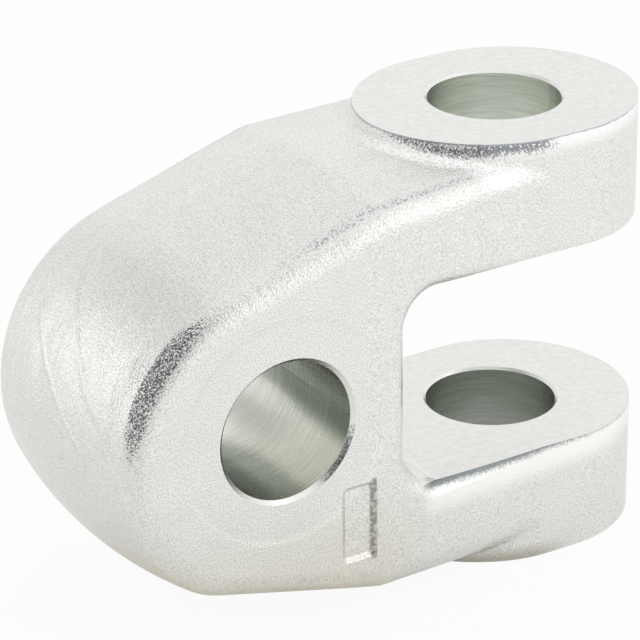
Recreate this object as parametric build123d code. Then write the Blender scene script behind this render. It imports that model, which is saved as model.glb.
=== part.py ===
"""Forged clevis rod end: one solid steel forging with a U-shaped fork and two crossing pin bores.

Frame: Z is the axis of the fork pin, with the origin midway between the two boss faces.
X runs from the body out to the ears, and Y is the axis of the cross bore in the body.
The die opens along Y. Its parting line lies in the XZ plane, and every forged wall falls away
from there towards the flat faces. The slot flats, boss faces and bores are machined afterwards.
"""
from build123d import *

import os
from math import asin, atan, atan2, cos, hypot, radians, sin, tan

# ---- machined features (mm) ----
pin_bore_diameter = 25.5        # fork pin, through both ears
cross_bore_diameter = 27.0      # cross pin, through the body
slot_gap = 40.0                 # between the machined inner faces of the ears
height_over_bosses = 86.4       # across the two machined boss faces
bore_spacing = 62.5             # pin axis to cross bore axis, along X
pin_bore_chamfer = 0.5
cross_bore_chamfer = 0.8
milled_slot_depth = 33.0        # from the pin axis to the milled root
milled_root_radius = 5.0

# ---- outline of the forging at the parting line ----
nose_radius = 34.8              # round end of the body
nose_drop = 2.4                 # centre of the nose below the cross bore axis
shoulder_distance = 41.6        # from the pin axis to where an arm turns towards the nose
shoulder_radius = 12.0
upper_shoulder_step = 2.5       # outer face of the upper arm there, below the boss face
upper_flare_angle = 2.2         # the upper arm grows thicker towards its ear
lower_shoulder_step = 1.1       # outer face of the lower arm there, above the boss face
lower_flare_angle = 0.0
belly_end_angle = 29.1          # where the underside meets the nose circle, from straight down
belly_radius = 18.0             # blend from the underside into the nose

# ---- thickness and edges of the forging ----
body_width = 54.0               # across the flat faces beside the cross bore
wall_fall = 3.4                 # how far a forged wall falls away from the parting line
face_edge_radius = 5.5          # outer wall to the flat faces
taper_distance = 46.0           # from the pin axis to where the flat faces begin to narrow
taper_radius = 60.0             # blend from the flat faces into the narrowing arms
taper_end_distance = 4.0        # from the pin axis to where an arm is as narrow as its ear

# ---- ears and bosses ----
ear_step = 2.7                  # side of an ear at the pin axis, in from the flat face
ear_reach = 27.9                # tip of an ear, from the pin axis
boss_reach = 27.1               # boss outline, from the pin axis towards the body
boss_foot_radius = 4.5          # boss wall to arm

# ---- forged slot at the parting line ----
forged_slot_gap = 34.6          # at the root
forged_root_step = 0.8          # forged root beyond the milled root
forged_root_radius = 4.5
slot_closing_angle = 2.4        # each slot wall leans in from the root to the mouth
slot_edge_radius = 3.2          # forged slot to the flat faces

# ---- marking panel, sunk in the -Y face and left bare ----
panel_length = 15.8             # along Z
panel_width = 7.4               # along X
panel_depth = 0.7
panel_side_angle = 55.0         # lean of the sides of the panel, from the Y axis
panel_corner_radius = 1.5
panel_x = -47.6
panel_z = -22.6

# ---- derived sizes ----
half_width = body_width / 2
ear_half_width = half_width - ear_step
forged_slot_depth = milled_slot_depth + forged_root_step
boss_height = height_over_bosses / 2
upper_shoulder_height = boss_height - upper_shoulder_step
lower_shoulder_height = boss_height - lower_shoulder_step
wall_radius = (half_width ** 2 + wall_fall ** 2) / (2 * wall_fall)
nose_centre = (-bore_spacing, -nose_drop)
narrowing = ear_step / (taper_distance - taper_end_distance)
flat_run = 4.0                  # flat side of an arm between the body and the narrowing
join_x = -taper_distance - taper_radius * tan(atan(narrowing) / 2) - flat_run
arm_end = 8.0                   # arms run on inside the ears to here
skin_depth = 3.0                # least depth of a swept wall
overlap = 1.0                   # how far solids that are joined run into each other
overrun = 20.0                  # how far tools and blanks run past the finished part
whole_part = 6 * bore_spacing   # edge of a block that holds the whole part
touching = 0.01                 # closest distance that counts as lying on a surface


def upper_tangent_point(x, z):
    """Point where the line from (x, z) down to the nose touches the nose circle."""
    dx = nose_centre[0] - x
    dz = nose_centre[1] - z
    distance = hypot(dx, dz)
    heading = atan2(dz, dx) - asin(nose_radius / distance)
    run = (distance ** 2 - nose_radius ** 2) ** 0.5
    return (x + run * cos(heading), z + run * sin(heading))


def corner_at(sketch, x, y):
    """The vertices of the sketch at (x, y) in its own plane."""
    return [v for v in sketch.vertices() if hypot(v.X - x, v.Y - y) < touching]


def outer_profile():
    """Outline of the forging at the parting line, with the arms run on past the ear ends."""
    end_x = ear_reach + overrun
    run = end_x + shoulder_distance
    upper_z = upper_shoulder_height + run * tan(radians(upper_flare_angle))
    lower_z = -lower_shoulder_height - run * tan(radians(lower_flare_angle))
    upper_shoulder = (-shoulder_distance, upper_shoulder_height)
    lower_shoulder = (-shoulder_distance, -lower_shoulder_height)
    nose_touch = upper_tangent_point(*upper_shoulder)
    belly_meet = (nose_centre[0] - nose_radius * sin(radians(belly_end_angle)),
                  nose_centre[1] - nose_radius * cos(radians(belly_end_angle)))
    nose_tip = (nose_centre[0] - nose_radius, nose_centre[1])
    with BuildSketch(Plane.XZ) as sketch:
        with BuildLine():
            Polyline(nose_touch, upper_shoulder, (end_x, upper_z), (end_x, lower_z),
                     lower_shoulder, belly_meet)
            ThreePointArc(belly_meet, nose_tip, nose_touch)
        make_face()
        fillet(corner_at(sketch, *upper_shoulder), shoulder_radius)
        fillet(corner_at(sketch, *lower_shoulder), shoulder_radius)
        fillet(corner_at(sketch, *belly_meet), belly_radius)
    return sketch.sketch


def forged_slot_profile():
    """Outline of the forged slot at the parting line."""
    end_x = ear_reach + overrun
    root_z = forged_slot_gap / 2
    mouth_z = root_z - (end_x + forged_slot_depth) * tan(radians(slot_closing_angle))
    with BuildSketch(Plane.XZ) as sketch:
        with BuildLine():
            Polyline((-forged_slot_depth, -root_z), (end_x, -mouth_z), (end_x, mouth_z),
                     (-forged_slot_depth, root_z), close=True)
        make_face()
        fillet([v for v in sketch.vertices() if v.X < 0], forged_root_radius)
    return sketch.sketch


def crowned(profile, sign, reach, edge_radius=0):
    """Solid with the given outline in XZ at y = 0 and an arched wall, as far as y = reach.

    With sign 1 the wall falls inwards on both sides of y = 0, as on the body. With sign -1 it
    falls outwards, as on the cutter for the slot. The rim of the flat faces can be rounded.
    The far end in X stays open.
    """
    end_x = ear_reach + overrun
    fall = wall_radius - (wall_radius ** 2 - reach ** 2) ** 0.5
    inner = max(sign, 0) * fall + edge_radius + skin_depth
    edges = [e for e in profile.faces()[0].outer_wire().edges()
             if abs((e @ 0).X - end_x) > touching or abs((e @ 1).X - end_x) > touching]
    path = Wire(edges)
    outwards = Vector(0, 0, 1) if (path @ 0).Z > 0 else Vector(0, 0, -1)
    start = Plane(origin=path @ 0, x_dir=outwards.cross(path % 0), z_dir=path % 0)
    with BuildSketch(start) as section:
        with BuildLine():
            ThreePointArc((-reach, -sign * fall), (0, 0), (reach, -sign * fall))
            Polyline((reach, -sign * fall), (reach, -inner), (-reach, -inner),
                     (-reach, -sign * fall))
        make_face()
        if edge_radius:
            rims = corner_at(section, reach, -sign * fall) + corner_at(section, -reach, -sign * fall)
            fillet(rims, edge_radius)
    shell = sweep(section.sketch, path=path)
    core = offset(profile, amount=overlap - inner, kind=Kind.INTERSECTION)
    return shell + extrude(core, amount=reach, both=True)


def plan_outline():
    """Near half of the arms along Z: they narrow from the body towards the ears."""
    end_y = half_width - narrowing * (taper_distance + arm_end)
    with BuildSketch() as sketch:
        with BuildLine():
            Polyline((arm_end, 0), (arm_end, -end_y), (-taper_distance, -half_width),
                     (join_x, -half_width), (join_x, 0), close=True)
        make_face()
        fillet(corner_at(sketch, -taper_distance, -half_width), taper_radius)
    return sketch.sketch


def ear_outline():
    """Near half of a boss and its ear end, along Z: two quarter circles and the flat between."""
    wide = ear_half_width
    with BuildSketch() as sketch:
        with BuildLine():
            CenterArc((wide - boss_reach, 0), wide, 180, 90)
            Line((wide - boss_reach, -wide), (ear_reach - wide, -wide))
            CenterArc((ear_reach - wide, 0), wide, 270, 90)
            Line((ear_reach, 0), (-boss_reach, 0))
        make_face()
    return sketch.sketch


def near_half(solid):
    """The part of a solid on the -Y side of the parting plane."""
    return solid & (Pos(0, -whole_part / 2, 0) * Box(whole_part, whole_part, whole_part))


def edges_on_both(solid, first, second):
    """Edges of the solid, clear of the parting plane, that lie on the skins of both others."""
    skins = (first.shells()[0], second.shells()[0])
    return [e for e in solid.edges()
            if (e @ 0.5).Y < -touching
            and all(skin.distance_to(e @ 0.5) < touching for skin in skins)]


def forged_body():
    """Near half of the body, where the rounded rim of the flat faces is part of the swept wall."""
    body = near_half(crowned(outer_profile(), 1, half_width, face_edge_radius))
    behind = Pos(join_x - whole_part / 2, 0, 0) * Box(whole_part, whole_part, whole_part)
    return body & behind


def forged_arms():
    """Near half of the arms, with the rim of their narrowing sides rounded."""
    plan = extrude(plan_outline(), amount=2 * boss_height, both=True)
    half = near_half(crowned(outer_profile(), 1, half_width + overlap)) & plan
    sides = [f for f in half.faces() if f.normal_at().Y < -0.95]
    edges = [e for side in sides for e in side.edges()]
    rim = [e for e in edges if sum(e.is_same(other) for other in edges) == 1]
    along = [e for e in rim if join_x + touching < (e @ 0.5).X < arm_end - touching]
    return fillet(along, face_edge_radius)


def forged_half():
    """Near half of the forging, before machining."""
    arms = forged_body() + forged_arms()
    ears = extrude(ear_outline(), amount=boss_height + boss_foot_radius, both=True)
    half = arms + ears
    feet = [e for e in edges_on_both(half, arms, ears) if (e @ 0.5).X < 0 and abs((e % 0.5).Z) < 0.9]
    half = fillet(feet, boss_foot_radius)
    cutter = crowned(forged_slot_profile(), -1, half_width + overlap)
    slotted = half - cutter
    return fillet(edges_on_both(slotted, half, cutter), slot_edge_radius)


def milled_slot():
    """Cutter for the flats and the root of the slot."""
    end_x = ear_reach + overrun
    length = end_x + milled_slot_depth
    with BuildSketch(Plane.XZ) as sketch:
        with Locations((end_x - length / 2, 0)):
            Rectangle(length, slot_gap)
        fillet([v for v in sketch.vertices() if v.X < 0], milled_root_radius)
    return extrude(sketch.sketch, amount=body_width, both=True)


def panel():
    """Cutter for the sunken marking panel in the -Y face, with sloping sides."""
    face = Plane(origin=(panel_x, -half_width, panel_z), x_dir=(1, 0, 0), z_dir=(0, -1, 0))
    with BuildSketch(face) as sketch:
        RectangleRounded(panel_width, panel_length, panel_corner_radius)
    return extrude(sketch.sketch, amount=-panel_depth, taper=panel_side_angle)


def bore_rims(part, diameter):
    """Rims of the bores of this diameter."""
    circles = part.edges().filter_by(GeomType.CIRCLE)
    return [e for e in circles if abs(e.radius - diameter / 2) < touching]


def clevis():
    """The finished rod end."""
    half = forged_half() & Box(whole_part, whole_part, height_over_bosses)
    half = half - milled_slot()
    part = half + mirror(half, about=Plane.XZ) - panel()
    part = part - Cylinder(pin_bore_diameter / 2, 2 * height_over_bosses)
    cross_bore = Rot(90, 0, 0) * Cylinder(cross_bore_diameter / 2, 2 * body_width)
    part = part - Pos(-bore_spacing, 0, 0) * cross_bore
    part = chamfer(bore_rims(part, pin_bore_diameter), pin_bore_chamfer)
    return chamfer(bore_rims(part, cross_bore_diameter), cross_bore_chamfer)


os.makedirs("parts", exist_ok=True)
export_step(clevis(), "parts/clevis.step")
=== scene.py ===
"""Clevis rod end: the finish of one solid forging, and the light and camera that show it."""
import math

import bpy
from mathutils import Matrix, Vector


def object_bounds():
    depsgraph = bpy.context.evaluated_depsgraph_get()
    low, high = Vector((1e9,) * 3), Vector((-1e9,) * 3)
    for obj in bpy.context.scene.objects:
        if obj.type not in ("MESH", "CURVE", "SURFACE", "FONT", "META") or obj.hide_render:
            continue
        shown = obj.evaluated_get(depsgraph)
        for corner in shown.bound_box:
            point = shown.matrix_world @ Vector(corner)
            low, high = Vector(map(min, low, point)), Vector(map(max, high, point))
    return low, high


MM = 0.001

# ---- sizes of the part, in metres, that its finishes follow ----
BOSS_FACE = 43.2 * MM
SLOT_HALF = 20.0 * MM
SLOT_ROOT = 33.0 * MM
PIN_BORE_RADIUS = 12.75 * MM
CROSS_BORE_RADIUS = 13.5 * MM
CROSS_BORE_X = -62.5 * MM
CROSS_CHAMFER = 0.8 * MM
PIN_CHAMFER = 0.5 * MM
PANEL_SIDE_X = -44.3 * MM
PANEL_MIDDLE_Z = -22.6 * MM
FRONT_WALL = -26.0 * MM
BOSS_FOOT_X = -2.8 * MM
BOSS_FOOT_RADIUS = 24.3 * MM
# how near a point has to be to a machined face, bore or chamfer to count as on it
NEAR_FACE = 0.02 * MM
NEAR_BORE = 0.03 * MM

# ---- where a finish starts and where it is full, in metres ----
NOSE_X = (-82.0 * MM, -88.0 * MM)
NOSE_Y = (-24.0 * MM, -18.0 * MM)
NOSE_Z = (-10.0 * MM, 2.0 * MM)
RAISED_RING = (21.0 * MM, 22.6 * MM)
LOW_NOSE_Z = (-12.0 * MM, -34.0 * MM)
LOW_NOSE_X = (-28.0 * MM, -45.0 * MM)
BOTTOM_Z = (-39.5 * MM, -43.0 * MM)
BOTTOM_X = (4.0 * MM, -8.0 * MM)
PANEL_SIDE_LENGTH = (8.8 * MM, 7.8 * MM)
PANEL_SIDE_WIDTH = (0.95 * MM, 0.35 * MM)
BOSS_FOOT_SHADE_Z = (39.8 * MM, 41.9 * MM)
BOSS_FOOT_SHADE_LEFT = (-24.0 * MM, -16.0 * MM)
BOSS_FOOT_SHADE_RIGHT = (1.0 * MM, -7.0 * MM)
BOSS_FOOT_SHADE_Y = (-14.0 * MM, -18.0 * MM)
ARM_RIM_X = (-66.0 * MM, -54.0 * MM)
ARM_RIM_DEPTH = (14.0 * MM, 18.0 * MM)
EAR_X = (-34.0 * MM, -30.0 * MM)
EAR_DEPTH = (14.0 * MM, 17.0 * MM)
STRIP_NARROWS_X = (-16.0 * MM, 14.0 * MM)
SHADE_STRIP_EDGE = (0.15 * MM, -0.9 * MM)
SLOT_HIGHLIGHT_START = (0.0, 0.5 * MM)
SLOT_HIGHLIGHT_END = (6.5 * MM, 1.5 * MM)
UNDER_FACE_Z = (39.0 * MM, 42.4 * MM)
UNDER_FACE_X = (-33.0 * MM, -28.0 * MM)
FOOT_BAND_START = (0.6 * MM, 1.8 * MM)
FOOT_BAND_END = (5.2 * MM, 3.4 * MM)
FOOT_BAND_X = (-8.0 * MM, -14.0 * MM)
FOOT_BAND_Y = (2.0 * MM, -8.0 * MM)
FOOT_BAND_Z = (35.0 * MM, 37.0 * MM)
FAR_TOP_Z = (-1.5 * MM, 1.5 * MM)
FAR_TOP_Y = (-22.0 * MM, -12.0 * MM)
HALFWAY_Y = (-16.0 * MM, 0.0)

# ---- which way a skin faces, as the upward part of its normal, where a finish starts and is full ----
FACING_DOWN = (-0.47, -0.63)
RIM_RISES = (0.76, 0.83)
RIM_FALLS = (0.95, 0.88)
UPRIGHT = (0.5, 0.2)

# ---- sides of the cross bore's wall: 1 where it lies the way given, -1 opposite ----
LIT_WAY = (0.530, -0.848)
FORK_WAY = (0.866, -0.5)
PAINTED_LIGHT_SIDE = (0.66, 0.88)
BORE_SHADE_START = (0.92, 0.71)
BORE_SHADE_END = (-0.60, -0.10)
FORK_SIDE = (0.70, 0.98)

# ---- size of the patches of each noise, in metres ----
SWAY_SIZE = 5.0 * MM
DIMPLE_SIZE = 0.9 * MM
GRAIN_SIZE = 0.42 * MM
PIT_SIZE = 0.46 * MM
PATCH_SIZE = 9.0 * MM
SPECK_SIZE = 0.30 * MM
POLISH_SIZE = 1.2 * MM
PANEL_SHADE_BREAK_SIZE = 0.8 * MM
PAINTED_REFLECTION_SIZE = 0.36 * MM
BOSS_FOOT_SHADE_SIZE = 0.42 * MM
RIM_REFLECTION_SIZE = 0.5 * MM
RAGGED_SIZE = 0.6 * MM
FOOT_HIGHLIGHT_BREAK_SIZE = 0.5 * MM
BURR_SIZE = 2.2 * MM
MOTTLE_SIZE = 1.3 * MM
MILLING_SIZE = 0.9 * MM
# patches a metre along X, Y and Z, for a noise that is drawn out
FOLD_SCALES = (30.0, 150.0, 30.0)
PIN_RING_SCALES = (110.0, 110.0, 2300.0)
CROSS_RING_SCALES = (110.0, 2600.0, 110.0)

# ---- level of a noise, from 0 to 1, where its mark starts and is full ----
LIGHT_PATCH = (0.35, 0.65)
SPECK = (0.62, 0.30)
PANEL_SHADE_BREAK = (0.38, 0.55)
PAINTED_REFLECTION_LEVEL = (0.59, 0.64)
BOSS_FOOT_SHADE_LEVEL = (0.60, 0.66)
RIM_REFLECTION_LEVEL = (0.48, 0.60)
FOOT_HIGHLIGHT_BREAK = (0.40, 0.52)
LIGHT_MOTTLE = (0.30, 0.70)
LIGHT_RING = (0.35, 0.7)
DARK_RING = (0.62, 0.38)
PAINTED_REFLECTION_START = (0.02, 0.35)

# ---- depth or height of each relief, in metres ----
SWAY_DEPTH = 0.5 * MM
FOLD_DEPTH = 1.0 * MM
CREASE_HEIGHT = 0.17 * MM
RAISED_RING_HEIGHT = 0.16 * MM
DIMPLE_DEPTH = 0.06 * MM
GRAIN_DEPTH = 0.15 * MM
PIT_DEPTH = 0.50 * MM
MILLING_DEPTH = 0.02 * MM
BORING_DEPTH = 0.06 * MM
BURR_HEIGHT = 0.75 * MM
BURR_EDGE = 0.12 * MM
# the strip beside the slot is high at the root of the ear and low at its tip
STRIP_HIGH = 1.3 * MM
STRIP_LOW = 0.30 * MM
STRIP_WANDER = 1.1 * MM

# ---- how much of a finish shows where it is full, from 0 to 1 ----
PIT_SHARE = 0.75
LEAST_PANEL_SHADE = 0.45
PAINTED_REFLECTION_SHARE = 0.90
PAINTED_REFLECTION_LIFT = 0.13
BOSS_FOOT_SHADE_SHARE = 0.85
BOSS_FOOT_SHADE_LIFT = 0.22
RIM_PAINTED_REFLECTION_SHARE = 0.85
RIM_REFLECTION_SHARE = 0.75
SHADE_STRIP_SHARE = 0.9
BURR_SHARE = 0.8
PIN_BORED_SHARE = 0.5
BORE_SHADE_SHARE = 0.61
FAR_TOP_SHADE_SHARE = 0.84
HALFWAY_SHADE_SHARE = 0.42
LOWER_PIN_SHADE_SHARE = 0.33

# ---- roughness ----
SKIN_ROUGH = (0.035, 0.075)
MILLED_ROUGH = 0.25
PIN_BORE_ROUGH = 0.30
CROSS_BORE_ROUGH = 0.25

# ---- creases over the nose: start, ridge and end, measured across them ----
CREASE_SLANT = 0.74
CREASE_WANDER = 1.6 * MM
CREASES = ((16.6 * MM, 18.7 * MM, 20.4 * MM), (6.4 * MM, 7.8 * MM, 9.2 * MM))

# ---- colours ----
ZINC = (0.86, 0.863, 0.833, 1)
ZINC_LIGHT = (0.885, 0.888, 0.855, 1)
ZINC_SPECK = (0.65, 0.655, 0.635, 1)
# painted highlight
PAINTED_HIGHLIGHT = (0.985, 0.985, 0.97, 1)
# painted shade on the slot's cut edge
SLOT_EDGE_SHADE = (0.17, 0.195, 0.21, 1)
# painted reflection of the dark card
PAINTED_REFLECTION = (0.12, 0.125, 0.14, 1)
# painted shade in the upper boss's foot
BOSS_FOOT_SHADE = (0.16, 0.17, 0.20, 1)
# painted reflection on the cross bore's chamfer
RIM_PAINTED_REFLECTION = (0.20, 0.205, 0.22, 1)
# painted reflection on the upper arm's rim
RIM_REFLECTION_FLECK = (0.28, 0.31, 0.37, 1)
BURR = (0.42, 0.44, 0.47, 1)
MILLED = (0.77, 0.765, 0.745, 1)
MILLED_LIGHT = (0.84, 0.835, 0.815, 1)
BORED = (0.78, 0.81, 0.745, 1)
BORED_LIGHT = (0.88, 0.90, 0.835, 1)
# painted highlight on the lit side of the cross bore
BORED_PAINTED_LIGHT = (0.94, 0.935, 0.87, 1)
PIN_BORED = (0.93, 0.96, 0.91, 1)
# painted shade inside the bores
BORE_PAINTED_SHADE = (0.20, 0.225, 0.20, 1)
CHAMFER = (0.85, 0.85, 0.83, 1)
FLOOR = (0.82, 0.815, 0.795, 1)
WHITE = (1, 1, 1, 1)
# colours that multiply what lies under them
LOW_NOSE_TINT = (0.95, 0.93, 0.87, 1)
# painted shade on faces turned down
UNDERSIDE_PAINTED_SHADE = (0.955, 0.935, 0.855, 1)
BOTTOM_TINT = (0.62, 0.59, 0.52, 1)
# painted shade in the marking panel's recess
PANEL_SHADE_TINT = (0.42, 0.42, 0.40, 1)
RING_TINT = (0.86, 0.87, 0.86, 1)

# ---- camera ----
CAMERA_AT = Vector((-344.29, -496.64, 272.88)) * MM
CAMERA_AIM = Vector((-29.17, 16.18, -2.69)) * MM
CAMERA_ROLL = math.radians(-0.58)
CAMERA_LENS = 191.83
SENSOR_WIDTH = 36.0
NEAREST_SEEN = 0.01

# ---- floor ----
FLOOR_SIZE = 6.0
FLOOR_GAP = 0.2 * MM
CAMERA_GLOW = 0.93
MIRRORED_GLOW_BEHIND = 0.30
MIRRORED_GLOW_IN_FRONT = 0.92
FRONT_EDGE = (-0.02, 0.10)


def deselect_all():
    """Start from nothing selected."""
    for thing in bpy.context.selected_objects:
        thing.select_set(False)


def direction(azimuth, elevation):
    """Unit vector, with angles in degrees: azimuth from +X towards +Y, elevation up."""
    turn = math.radians(azimuth)
    rise = math.radians(elevation)
    return Vector((math.cos(rise) * math.cos(turn), math.cos(rise) * math.sin(turn), math.sin(rise)))


class Nodes:
    """A node tree that is built by short calls, each giving back the new node's output."""

    MIX_KINDS = ("FLOAT", "VECTOR", "RGBA")

    def __init__(self, tree):
        self.tree = tree

    def add(self, kind, output=0, settings=None, **inputs):
        """New node. Its inputs are given by name, or as i0, i1, i2 by number."""
        node = self.tree.nodes.new(kind)
        for name, value in (settings or {}).items():
            setattr(node, name, value)
        for name, value in inputs.items():
            numbered = name[0] == "i" and name[1:].isdigit()
            self.feed(node.inputs[int(name[1:]) if numbered else name.replace("_", " ")], value)
        return node.outputs[output] if node.outputs else node

    def feed(self, socket, value):
        """Link an output to the socket, or set the socket to a plain value."""
        if isinstance(value, bpy.types.NodeSocket):
            self.tree.links.new(value, socket)
        else:
            socket.default_value = value

    def split(self, vector):
        """The three numbers of a vector."""
        return self.add("ShaderNodeSeparateXYZ", i0=vector).node.outputs

    def math(self, operation, first, second=0.0, third=0.0):
        return self.add("ShaderNodeMath", settings={"operation": operation},
                        i0=first, i1=second, i2=third)

    def times(self, *factors):
        """All the factors multiplied."""
        product = factors[0]
        for factor in factors[1:]:
            product = self.math("MULTIPLY", product, factor)
        return product

    def radius(self, first, second):
        """Distance from an axis, of which first and second are the distances across."""
        return self.math("SQRT", self.math("ADD", self.times(first, first), self.times(second, second)))

    def mix_node(self, kind, share, first, second):
        """Goes from the first to the second as share goes from 0 to 1."""
        node = self.tree.nodes.new("ShaderNodeMix")
        node.data_type = kind
        which = self.MIX_KINDS.index(kind)
        self.feed(node.inputs[0], share)
        self.feed(node.inputs[2 + 2 * which], first)
        self.feed(node.inputs[3 + 2 * which], second)
        return node.outputs[which]

    def mix(self, share, first, second):
        """Number between two numbers."""
        return self.mix_node("FLOAT", share, first, second)

    def mix_vectors(self, share, first, second):
        """Vector between two vectors."""
        return self.mix_node("VECTOR", share, first, second)

    def blend(self, share, first, second):
        """Colour between two colours."""
        return self.mix_node("RGBA", share, first, second)

    def tint(self, share, first, second):
        """The first colour, multiplied by the second as share goes from 0 to 1."""
        colour = self.blend(share, first, second)
        colour.node.blend_type = "MULTIPLY"
        return colour

    def ramp(self, value, start, full):
        """0 at start and before it, 1 at full and past it, and smooth between, rising or falling."""
        ends = dict(From_Min=start, From_Max=full)
        if start > full:
            ends = dict(From_Min=full, From_Max=start, To_Min=1.0, To_Max=0.0)
        return self.add("ShaderNodeMapRange", settings={"interpolation_type": "SMOOTHSTEP"},
                        Value=value, **ends)

    def noise(self, place, size, detail=2.0, rough=0.5):
        """Cloudy noise whose patches are about size metres across."""
        return self.add("ShaderNodeTexNoise", Vector=place, Scale=1.0 / size, Detail=detail,
                        Roughness=rough)

    def stretch(self, place, scales):
        """Place for a noise of size 1, which then has this many patches a metre along X, Y and Z."""
        return self.add("ShaderNodeMapping", Vector=place, Scale=scales)

    def cells(self, place, size):
        """Distance to the nearest of scattered points about size metres apart."""
        return self.add("ShaderNodeTexVoronoi", Vector=place, Scale=1.0 / size)

    def bump(self, height, depth, onto=None, strength=1.0):
        """Normal of a relief that is depth metres high, over another relief or over none."""
        relief = self.add("ShaderNodeBump", Strength=strength, Distance=depth, Height=height)
        if onto is not None:
            self.feed(relief.node.inputs["Normal"], onto)
        return relief


def new_material(name):
    material = bpy.data.materials.new(name)
    material.use_nodes = True
    material.node_tree.nodes.clear()
    return material, Nodes(material.node_tree)


class Surface:
    """Where a point of the part lies, which way it faces and what was machined there."""

    DARK_SIDE = direction(-142, 28)
    DARK_SIDE_EDGE = (math.cos(math.radians(25)), math.cos(math.radians(15)))

    def __init__(self, n):
        self.place = n.add("ShaderNodeTexCoord", output="Object")
        self.x, self.y, self.z = n.split(self.place)
        self.height = n.math("ABSOLUTE", self.z)
        self.depth = n.math("ABSOLUTE", self.y)
        self.from_cross = n.math("SUBTRACT", self.x, CROSS_BORE_X)
        self.cross_radius = n.radius(self.from_cross, self.z)
        pin_radius = n.radius(self.x, self.y)

        facing = n.add("ShaderNodeTexCoord", output="Normal")
        self.face_z = n.split(facing)[2]
        towards_dark = n.add("ShaderNodeVectorMath", output="Value",
                             settings={"operation": "DOT_PRODUCT"}, i0=facing, i1=self.DARK_SIDE)
        # rims and fillets that face up and to the left
        self.dark_side = n.ramp(towards_dark, *self.DARK_SIDE_EDGE)

        boss_face = n.math("GREATER_THAN", self.height, BOSS_FACE - NEAR_FACE)
        in_slot = n.times(n.math("LESS_THAN", self.height, SLOT_HALF + NEAR_FACE),
                          n.math("GREATER_THAN", self.x, -SLOT_ROOT - NEAR_FACE))
        self.milled = n.math("MAXIMUM", boss_face, in_slot)
        self.pin_bore = n.math("LESS_THAN", pin_radius, PIN_BORE_RADIUS + NEAR_BORE)
        self.cross_bore = n.math("LESS_THAN", self.cross_radius, CROSS_BORE_RADIUS + NEAR_BORE)
        pin_rim = n.math("LESS_THAN", pin_radius, PIN_BORE_RADIUS + PIN_CHAMFER - NEAR_FACE)
        self.cross_rim = n.math("LESS_THAN", self.cross_radius,
                                CROSS_BORE_RADIUS + CROSS_CHAMFER - NEAR_FACE)
        bore = n.math("MAXIMUM", self.pin_bore, self.cross_bore)
        self.rim = n.math("SUBTRACT", n.math("MAXIMUM", pin_rim, self.cross_rim), bore)
        self.bored = n.math("MAXIMUM", bore, self.rim)
        self.machined = n.math("MAXIMUM", self.milled, self.bored)


def nose_creases(n, at, sway):
    """Two raised creases left by the die, running slantwise over the nose."""
    across = n.math("SUBTRACT", at.z, n.times(at.y, CREASE_SLANT))
    across = n.math("ADD", across, n.times(sway, CREASE_WANDER))
    first, second = (n.times(n.ramp(across, start, ridge), n.ramp(across, end, ridge))
                     for start, ridge, end in CREASES)
    over_nose = n.times(n.ramp(at.x, *NOSE_X), n.ramp(at.z, *NOSE_Z), n.ramp(at.y, *NOSE_Y))
    return n.times(n.math("MAXIMUM", first, second), over_nose)


def skin_relief(n, at):
    """Forged skin: fine shot marks over a soft unevenness, and a low ring round the cross bore."""
    sway = n.noise(at.place, SWAY_SIZE)
    relief = n.bump(sway, SWAY_DEPTH, strength=0.35)
    folds = n.noise(n.stretch(at.place, FOLD_SCALES), 1.0)
    relief = n.bump(folds, FOLD_DEPTH, onto=relief, strength=0.7)
    relief = n.bump(nose_creases(n, at, sway), CREASE_HEIGHT, onto=relief)
    relief = n.bump(n.ramp(at.cross_radius, *RAISED_RING), RAISED_RING_HEIGHT, onto=relief)
    relief = n.bump(n.cells(at.place, DIMPLE_SIZE), DIMPLE_DEPTH, onto=relief, strength=0.5)
    grain = n.noise(at.place, GRAIN_SIZE, detail=3.0, rough=0.6)
    relief = n.bump(grain, GRAIN_DEPTH, onto=relief)
    # deeper pits on the dark side
    pits = n.noise(at.place, PIT_SIZE, detail=1.0)
    return n.bump(pits, PIT_DEPTH, onto=relief, strength=n.times(at.dark_side, PIT_SHARE))


def bare_skin(n, at):
    """Dull zinc in light and dark patches, with small specks."""
    patch = n.noise(at.place, PATCH_SIZE, detail=4.0, rough=0.6)
    colour = n.blend(n.ramp(patch, *LIGHT_PATCH), ZINC, ZINC_LIGHT)
    specks = n.noise(at.place, SPECK_SIZE, detail=1.0)
    return n.blend(n.ramp(specks, *SPECK), colour, ZINC_SPECK)


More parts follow.
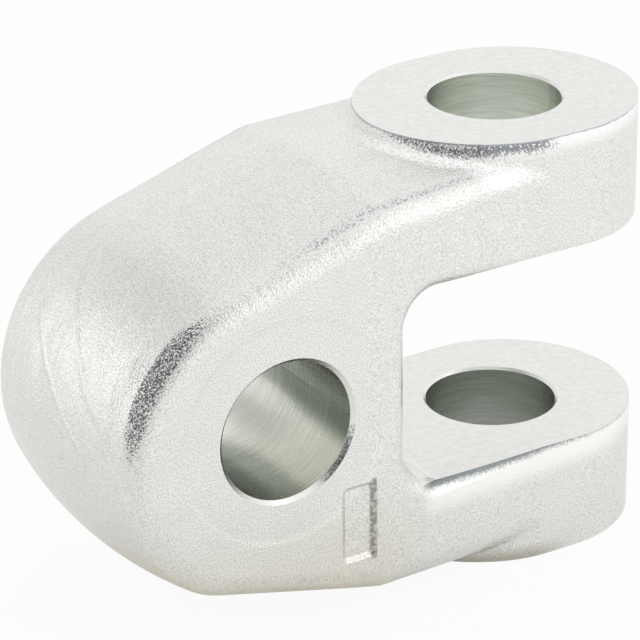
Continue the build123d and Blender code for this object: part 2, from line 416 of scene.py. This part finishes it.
def with_tints_and_painted_shade(n, at, colour):
    """Warmer and darker low down towards the nose, painted shade on faces turned down there, darker and
    browner at the very bottom, and painted shade along the far side of the marking panel.
    """
    towards_nose = n.ramp(at.x, *LOW_NOSE_X)
    # warmer and darker low down towards the nose
    colour = n.tint(n.times(n.ramp(at.z, *LOW_NOSE_Z), towards_nose), colour, LOW_NOSE_TINT)
    # painted shade: faces turned down towards the nose are darker and warmer
    facing_down = n.ramp(at.face_z, *FACING_DOWN)
    colour = n.tint(n.times(facing_down, towards_nose), colour, UNDERSIDE_PAINTED_SHADE)
    # darker and browner at the very bottom, left of the pin
    near_bottom = n.times(n.ramp(at.z, *BOTTOM_Z), n.ramp(at.x, *BOTTOM_X))
    colour = n.tint(near_bottom, colour, BOTTOM_TINT)
    # painted shade: a ragged dark band along the far side of the marking panel's recess, where its wall
    # is in shade
    along_panel = n.math("ABSOLUTE", n.math("SUBTRACT", at.z, PANEL_MIDDLE_Z))
    across_panel = n.math("ABSOLUTE", n.math("SUBTRACT", at.x, PANEL_SIDE_X))
    panel_shade_band = n.times(n.ramp(along_panel, *PANEL_SIDE_LENGTH),
                         n.ramp(across_panel, *PANEL_SIDE_WIDTH),
                         n.math("LESS_THAN", at.y, FRONT_WALL))
    ragged_shade = n.mix(n.ramp(n.noise(at.place, PANEL_SHADE_BREAK_SIZE), *PANEL_SHADE_BREAK), LEAST_PANEL_SHADE, 1.0)
    return n.tint(n.times(panel_shade_band, ragged_shade), colour, PANEL_SHADE_TINT)


def painted_reflection_specks(n, at):
    """Share of dark specks painted on the rims and fillets of the dark side: painted reflection of the
    dark card.
    """
    cloud = n.noise(at.place, PAINTED_REFLECTION_SIZE, rough=0.6)
    painted_reflection = n.math("MULTIPLY_ADD", at.dark_side, PAINTED_REFLECTION_LIFT, cloud)
    return n.times(n.ramp(painted_reflection, *PAINTED_REFLECTION_LEVEL), n.ramp(at.dark_side, *PAINTED_REFLECTION_START))


def boss_foot_shade(n, at):
    """Share of painted shade in the concave foot just under the upper boss face: dark specks that paint
    the dark card's reflection.
    """
    foot = n.times(n.ramp(at.z, *BOSS_FOOT_SHADE_Z), n.ramp(at.x, *BOSS_FOOT_SHADE_LEFT),
                   n.ramp(at.x, *BOSS_FOOT_SHADE_RIGHT), n.ramp(at.y, *BOSS_FOOT_SHADE_Y))
    cloud = n.noise(at.place, BOSS_FOOT_SHADE_SIZE, rough=0.6)
    ragged_shade = n.math("MULTIPLY_ADD", foot, BOSS_FOOT_SHADE_LIFT, cloud)
    return n.times(n.ramp(ragged_shade, *BOSS_FOOT_SHADE_LEVEL), foot)


def arm_rim_painted_reflection(n, at):
    """Share of dark flecks painted along the rounded rim of the upper arm: painted reflection of the
    dark card.
    """
    rim = n.times(n.ramp(at.face_z, *RIM_RISES), n.ramp(at.face_z, *RIM_FALLS),
                  n.ramp(at.x, *ARM_RIM_X), n.ramp(at.depth, *ARM_RIM_DEPTH))
    reflection_flecks = n.noise(at.place, RIM_REFLECTION_SIZE, detail=3.0, rough=0.7)
    return n.times(rim, n.ramp(reflection_flecks, *RIM_REFLECTION_LEVEL))


def slot_bands(n, at):
    """Where the milling cut off a rounded edge: a strip of painted shade, then a painted highlight
    below it.
    """
    ragged = n.math("SUBTRACT", n.noise(at.place, RAGGED_SIZE, detail=3.0, rough=0.6), 0.5)
    strip_height = n.mix(n.ramp(at.x, *STRIP_NARROWS_X), STRIP_HIGH, STRIP_LOW)
    past_strip = n.math("SUBTRACT", n.math("SUBTRACT", at.height, SLOT_HALF), strip_height)
    past_strip = n.math("ADD", past_strip, n.times(ragged, STRIP_WANDER))
    on_lower_ear = n.times(n.ramp(at.x, *EAR_X), n.ramp(at.depth, *EAR_DEPTH),
                           n.math("LESS_THAN", at.z, 0.0))
    shade_strip = n.times(n.ramp(past_strip, *SHADE_STRIP_EDGE), on_lower_ear)
    slot_highlight = n.times(n.ramp(past_strip, *SLOT_HIGHLIGHT_START), n.ramp(past_strip, *SLOT_HIGHLIGHT_END),
                     on_lower_ear)
    return shade_strip, slot_highlight


def boss_bands(n, at):
    """Painted highlight on the wall of the upper boss, just below its face, and round its foot."""
    upright = n.ramp(n.math("ABSOLUTE", at.face_z), *UPRIGHT)
    under_face = n.times(n.ramp(at.z, *UNDER_FACE_Z), n.ramp(at.x, *UNDER_FACE_X), upright)
    from_boss = n.math("SUBTRACT", at.x, BOSS_FOOT_X)
    past_foot = n.math("SUBTRACT", n.radius(from_boss, at.y), BOSS_FOOT_RADIUS)
    highlight_break = n.noise(at.place, FOOT_HIGHLIGHT_BREAK_SIZE, rough=0.6)
    foot_band = n.times(n.ramp(past_foot, *FOOT_BAND_START), n.ramp(past_foot, *FOOT_BAND_END),
                        n.ramp(at.z, *FOOT_BAND_Z), n.ramp(at.y, *FOOT_BAND_Y),
                        n.ramp(at.x, *FOOT_BAND_X), n.ramp(highlight_break, *FOOT_HIGHLIGHT_BREAK))
    return under_face, foot_band


def boss_burr(n, at):
    """Thin ragged burr where the upper boss face was cut."""
    burr_height = n.mix(n.noise(at.place, BURR_SIZE, detail=3.0, rough=0.6), 0.0, BURR_HEIGHT)
    return n.ramp(n.math("ADD", at.z, burr_height), BOSS_FACE - NEAR_FACE, BOSS_FACE + BURR_EDGE)


def skin_colour(n, at, painted_reflection):
    """Bare zinc, then tints and painted shade, painted reflections of the dark card, painted highlight
    bands, a strip of painted shade and the burr over it.
    """
    colour = with_tints_and_painted_shade(n, at, bare_skin(n, at))
    # painted reflection: dark specks where rims and fillets face the dark card
    colour = n.blend(n.times(painted_reflection, PAINTED_REFLECTION_SHARE), colour, PAINTED_REFLECTION)
    # painted reflection: dark flecks along the upper arm's rounded rim
    colour = n.blend(n.times(arm_rim_painted_reflection(n, at), RIM_REFLECTION_SHARE), colour, RIM_REFLECTION_FLECK)
    shade_strip, slot_highlight = slot_bands(n, at)
    under_face, foot_band = boss_bands(n, at)
    # painted highlight: lighter bands under the upper boss face, round its foot and below the slot's
    # cut edge
    bright = n.math("MAXIMUM", n.math("MAXIMUM", under_face, slot_highlight), foot_band)
    colour = n.blend(bright, colour, PAINTED_HIGHLIGHT)
    # painted shade: a dark strip along the lower ear's cut slot edge
    colour = n.blend(n.times(shade_strip, SHADE_STRIP_SHARE), colour, SLOT_EDGE_SHADE)
    # painted shade: dark specks in the concave foot under the upper boss face
    colour = n.blend(n.times(boss_foot_shade(n, at), BOSS_FOOT_SHADE_SHARE), colour, BOSS_FOOT_SHADE)
    return n.blend(n.times(boss_burr(n, at), BURR_SHARE), colour, BURR)


def milled_finish(n, at):
    """Colour and relief of the slot flats and boss faces, softly mottled."""
    mottle = n.noise(at.place, MOTTLE_SIZE, detail=4.0, rough=0.65)
    colour = n.blend(n.ramp(mottle, *LIGHT_MOTTLE), MILLED, MILLED_LIGHT)
    milling = n.noise(at.place, MILLING_SIZE, detail=3.0, rough=0.6)
    return colour, n.bump(milling, MILLING_DEPTH, strength=0.6)


def cross_bore_side(n, at, way):
    """1 on the side of the cross bore's wall that lies this way from its axis, -1 opposite."""
    along_x, along_z = way
    return n.math("ADD", n.times(at.from_cross, along_x / CROSS_BORE_RADIUS),
                  n.times(at.z, along_z / CROSS_BORE_RADIUS))


def bore_painted_shade(n, at, lit_side):
    """Share of painted shade in the bores: the cross bore is left light only low down in front, the
    lower pin bore nowhere.
    """
    far_top = n.times(n.ramp(at.z, *FAR_TOP_Z), n.ramp(at.y, *FAR_TOP_Y))
    bore_shade = n.times(n.ramp(lit_side, *BORE_SHADE_START), n.ramp(lit_side, *BORE_SHADE_END), at.cross_bore,
                   n.mix(far_top, BORE_SHADE_SHARE, FAR_TOP_SHADE_SHARE))
    # the painted shade also gathers halfway down the bore, on the side of the fork
    fork_side = cross_bore_side(n, at, FORK_WAY)
    halfway_shade = n.times(n.ramp(fork_side, *FORK_SIDE), n.ramp(at.y, *HALFWAY_Y), at.cross_bore)
    bore_shade = n.math("MAXIMUM", bore_shade, n.times(halfway_shade, HALFWAY_SHADE_SHARE))
    lower_pin_shade = n.times(at.pin_bore, n.math("LESS_THAN", at.z, 0.0), LOWER_PIN_SHADE_SHARE)
    return n.math("MAXIMUM", bore_shade, lower_pin_shade)


def bored_finish(n, at, painted_reflection):
    """Colour and relief of the bores and chamfers, with the rings that the boring bar left."""
    rings = n.mix_vectors(at.cross_bore, n.stretch(at.place, PIN_RING_SCALES),
                          n.stretch(at.place, CROSS_RING_SCALES))
    lines = n.noise(rings, 1.0, detail=3.0, rough=0.6)
    colour = n.blend(n.ramp(lines, *LIGHT_RING), BORED, BORED_LIGHT)
    # painted highlight: the cross bore's wall is lighter low down in front
    lit_side = cross_bore_side(n, at, LIT_WAY)
    painted_light = n.times(at.cross_bore, n.ramp(lit_side, *PAINTED_LIGHT_SIDE))
    colour = n.blend(painted_light, colour, BORED_PAINTED_LIGHT)
    colour = n.blend(n.times(at.pin_bore, PIN_BORED_SHARE), colour, PIN_BORED)
    # painted shade deeper in the bores and on the cross bore's far upper side
    colour = n.blend(bore_painted_shade(n, at, lit_side), colour, BORE_PAINTED_SHADE)
    colour = n.tint(n.ramp(lines, *DARK_RING), colour, RING_TINT)
    # painted reflection: dark specks on the cross bore's chamfer where it faces the dark card
    rim_painted_reflection = n.times(painted_reflection, at.cross_rim, RIM_PAINTED_REFLECTION_SHARE)
    colour = n.blend(at.rim, colour, n.blend(rim_painted_reflection, CHAMFER, RIM_PAINTED_REFLECTION))
    return colour, n.bump(lines, BORING_DEPTH, strength=0.5)


def finish_of_clevis():
    """Dull zinc over a shot-blasted forging, with machined flats and bores."""
    material, n = new_material("forged zinc")
    at = Surface(n)
    painted_reflection = painted_reflection_specks(n, at)
    flat_colour, flat_relief = milled_finish(n, at)
    bore_colour, bore_relief = bored_finish(n, at, painted_reflection)

    colour = n.blend(at.milled, skin_colour(n, at, painted_reflection), flat_colour)
    colour = n.blend(at.bored, colour, bore_colour)
    skin_rough = n.mix(n.noise(at.place, POLISH_SIZE, detail=3.0), *SKIN_ROUGH)
    rough = n.mix(at.milled, skin_rough, MILLED_ROUGH)
    bore_rough = n.mix(at.cross_bore, PIN_BORE_ROUGH, CROSS_BORE_ROUGH)
    rough = n.mix(at.bored, rough, bore_rough)
    machined_relief = n.mix_vectors(at.bored, flat_relief, bore_relief)
    relief = n.mix_vectors(at.machined, skin_relief(n, at), machined_relief)
    shader = n.add("ShaderNodeBsdfPrincipled", Base_Color=colour, Metallic=1.0, Roughness=rough,
                   Normal=relief)
    n.add("ShaderNodeOutputMaterial", Surface=shader)
    return material


def dress_floor(drop):
    """Plain pale floor just under the part, white to the camera, with the part's shadow."""
    deselect_all()
    bpy.ops.mesh.primitive_plane_add(size=FLOOR_SIZE, location=(0, 0, drop - FLOOR_GAP))
    floor = bpy.context.object
    floor.name = "floor"
    material, n = new_material("pale floor")
    diffuse = n.add("ShaderNodeBsdfDiffuse", Color=FLOOR)
    glow = n.add("ShaderNodeEmission", Color=WHITE, Strength=1.0)
    # what the bright metal mirrors of the floor is darker behind the part than in front
    across = n.split(n.add("ShaderNodeTexCoord", output="Object"))
    towards_front = direction(-60, 0)
    frontward = n.math("ADD", n.times(across[0], towards_front.x), n.times(across[1], towards_front.y))
    mirrored_glow = n.mix(n.ramp(frontward, *FRONT_EDGE), MIRRORED_GLOW_BEHIND, MIRRORED_GLOW_IN_FRONT)
    ray = n.tree.nodes.new("ShaderNodeLightPath").outputs
    mirrored = n.math("MAXIMUM", ray["Is Glossy Ray"], ray["Is Transmission Ray"])
    share = n.math("MAXIMUM", n.times(ray["Is Camera Ray"], CAMERA_GLOW),
                   n.times(mirrored, mirrored_glow))
    shader = n.add("ShaderNodeMixShader", i0=share, i1=diffuse, i2=glow)
    n.add("ShaderNodeOutputMaterial", Surface=shader)
    floor.data.materials.append(material)


def card(name, azimuth, elevation, width, height, shade):
    """Grey card a metre away that only the bright metal shows, as a darker band."""
    deselect_all()
    place = direction(azimuth, elevation)
    bpy.ops.mesh.primitive_plane_add(size=1.0)
    sheet = bpy.context.object
    sheet.name = name
    sheet.scale = (width, height, 1)
    sheet.rotation_euler = place.to_track_quat("Z", "Y").to_euler()
    sheet.location = place
    bpy.ops.object.transform_apply(location=True, rotation=True, scale=True)
    material, n = new_material(name)
    shader = n.add("ShaderNodeEmission", Color=(shade, shade, shade, 1), Strength=1.0)
    n.add("ShaderNodeOutputMaterial", Surface=shader)
    sheet.data.materials.append(material)
    sheet.visible_camera = False
    sheet.visible_diffuse = False
    sheet.visible_shadow = False


def soft_lamp(name, azimuth, elevation, width, height, brightness):
    """Large soft lamp a metre away. It looks this much brighter than the tent behind it."""
    lamp = bpy.data.lights.new(name, "AREA")
    lamp.shape = "RECTANGLE"
    lamp.size = width
    lamp.size_y = height
    lamp.energy = brightness * math.pi * width * height
    holder = bpy.data.objects.new(name, lamp)
    bpy.context.scene.collection.objects.link(holder)
    place = direction(azimuth, elevation)
    holder.location = place
    holder.rotation_euler = place.to_track_quat("Z", "Y").to_euler()
    holder.visible_camera = False


def light_tent():
    """White surround, two soft lamps and three grey cards."""
    world = bpy.data.worlds.new("white tent")
    bpy.context.scene.world = world
    world.use_nodes = True
    world.node_tree.nodes.clear()
    n = Nodes(world.node_tree)
    glow = n.add("ShaderNodeBackground", Color=WHITE, Strength=1.0)
    n.add("ShaderNodeOutputWorld", Surface=glow)
    # name, azimuth and elevation, width and height, brightness
    soft_lamp("front lamp", -50, 24, 0.62, 0.90, 0.45)
    soft_lamp("side lamp", 137, 10, 0.34, 0.50, 0.47)
    card("camera card", -150, 28, 1.50, 0.95, 0.27)
    card("top card", 126, 48, 0.60, 0.50, 0.70)
    card("back card", 107, 27, 0.70, 0.85, 0.88)


def set_camera():
    """Long lens from above and to the left of the front."""
    lens = bpy.data.cameras.new("camera")
    lens.lens = CAMERA_LENS
    lens.sensor_width = SENSOR_WIDTH
    lens.clip_start = NEAREST_SEEN
    camera = bpy.data.objects.new("camera", lens)
    bpy.context.scene.collection.objects.link(camera)
    aim = (CAMERA_AIM - CAMERA_AT).to_track_quat("-Z", "Y")
    camera.matrix_world = (Matrix.Translation(CAMERA_AT) @ aim.to_matrix().to_4x4()
                           @ Matrix.Rotation(CAMERA_ROLL, 4, "Z"))
    bpy.context.scene.camera = camera


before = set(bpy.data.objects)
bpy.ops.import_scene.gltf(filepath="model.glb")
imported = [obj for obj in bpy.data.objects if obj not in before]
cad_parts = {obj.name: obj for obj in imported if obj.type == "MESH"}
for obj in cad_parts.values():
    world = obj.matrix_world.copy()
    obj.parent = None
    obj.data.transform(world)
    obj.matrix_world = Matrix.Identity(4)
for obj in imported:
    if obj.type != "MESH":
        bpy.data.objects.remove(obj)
cad_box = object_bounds()
deselect_all()
bpy.context.scene.view_settings.view_transform = "Standard"
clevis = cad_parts["clevis"]
clevis.material_slots[0].material = finish_of_clevis()
light_tent()
dress_floor(cad_box[0].z)
set_camera()
